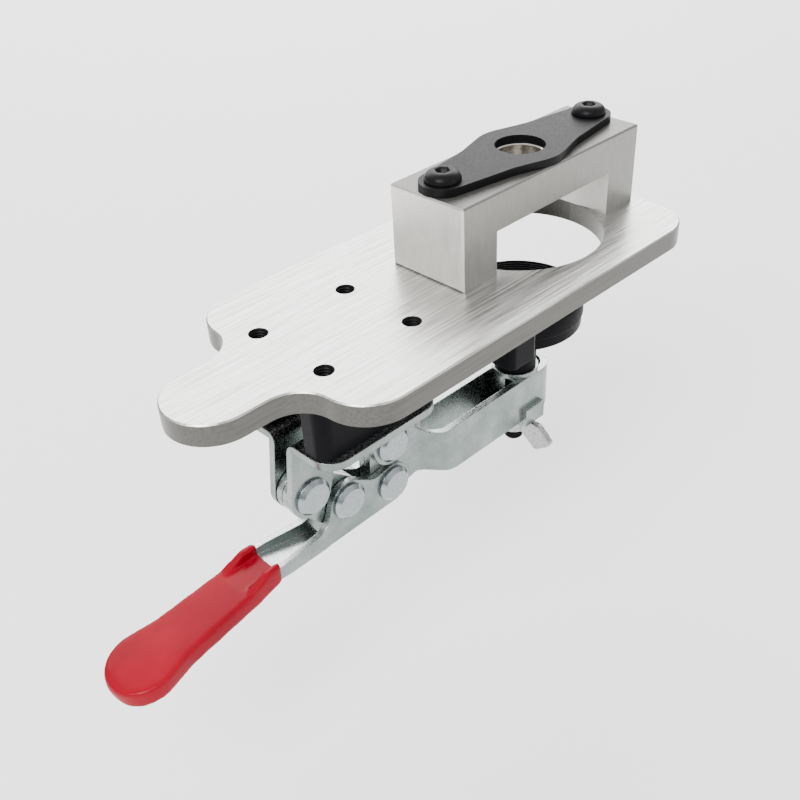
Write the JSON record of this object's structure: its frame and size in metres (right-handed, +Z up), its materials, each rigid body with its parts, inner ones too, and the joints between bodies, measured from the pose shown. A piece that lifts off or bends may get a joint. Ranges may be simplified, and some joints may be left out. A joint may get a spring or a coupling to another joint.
{
  "type": "hinge boring jig",
  "caption": "Drill guide for concealed cup hinges: flat plate with cutter hole, bushed bridge, edge stops and an inverted toggle clamp with red grip.",
  "frame": {"origin": "on the axis of the drill bush and cutter hole, at the top face of the base plate", "axes": "+X along the plate away from the clamp handle, +Z up out of the plate towards the drill bush, +Y across the plate"},
  "size_m": [0.1844, 0.065, 0.0993],
  "materials": {
    "brushed_aluminium": "brushed along the length",
    "ground_aluminium": "ground and satin",
    "black_steel": "black oxide",
    "black_steel_satin": "satin black oxide",
    "bush_steel": "ground and hardened",
    "black_plastic": "satin moulded",
    "zinc_sheet": "bright zinc plate",
    "bright_rivet": "bright",
    "black_rubber": "soft matt",
    "cast_zinc": "cast and plated",
    "red_vinyl": "dipped gloss"
  },
  "bodies": {
    "frame": {"base_plate": "brushed_aluminium", "guide_bridge": "ground_aluminium", "bridge_screws": "black_steel", "guide_bush": "bush_steel", "bush_retainer": "black_steel_satin", "retainer_screws": "black_steel", "spacer_block": "black_plastic", "edge_stop_near": "black_plastic", "edge_stop_far": "black_plastic", "edge_stop_screws": "black_steel", "clamp_base_near": "zinc_sheet", "clamp_base_far": "zinc_sheet", "clamp_screws": "black_steel", "rear_base_rivet": "bright_rivet", "front_base_rivet": "bright_rivet"},
    "arm": {"clamp_arm": "zinc_sheet", "crank_rivet": "bright_rivet", "top_saddle_washer": "zinc_sheet", "bottom_saddle_washer": "zinc_sheet", "spindle_sleeve": "black_rubber"},
    "spindle": {"spindle_bolt": "black_steel", "pad_backing": "black_plastic", "rubber_pad": "black_rubber"},
    "wing_nut": {"wing_nut": "cast_zinc"},
    "handle": {"handle_channel": "zinc_sheet", "handle_grip": "red_vinyl", "knee_rivet": "bright_rivet"},
    "link": {"link_near": "zinc_sheet", "link_far": "zinc_sheet"}
  },
  "joints": [
    {"name": "arm_pivot", "type": "hinge", "parent": "frame", "child": "arm", "pos_m": [-0.056, 0, -0.0402], "axis": [0, 1, 0], "range_deg": [0, 60]},
    {"name": "handle_pivot", "type": "hinge", "parent": "arm", "child": "handle", "pos_m": [-0.0567, 0, -0.0533], "axis": [0, 1, 0], "range_deg": [-102.9, 0]},
    {"name": "link_pivot", "type": "hinge", "parent": "frame", "child": "link", "pos_m": [-0.0842, 0, -0.0405], "axis": [0, 1, 0], "range_deg": [0, 42.95]},
    {"name": "spindle_adjust", "type": "slide", "parent": "arm", "child": "spindle", "axis": [0, 0, 1], "range_m": [0, 0.008]},
    {"name": "wing_nut_spin", "type": "hinge", "parent": "arm", "child": "wing_nut", "pos_m": [0, 0, -0.065], "axis": [0, 0, 1], "continuous": true}
  ],
  "couplings": [
    {"joint": "handle_pivot", "follows": "arm_pivot", "ratio": -1.7142},
    {"joint": "link_pivot", "follows": "arm_pivot", "ratio": 0.7149}
  ]
}
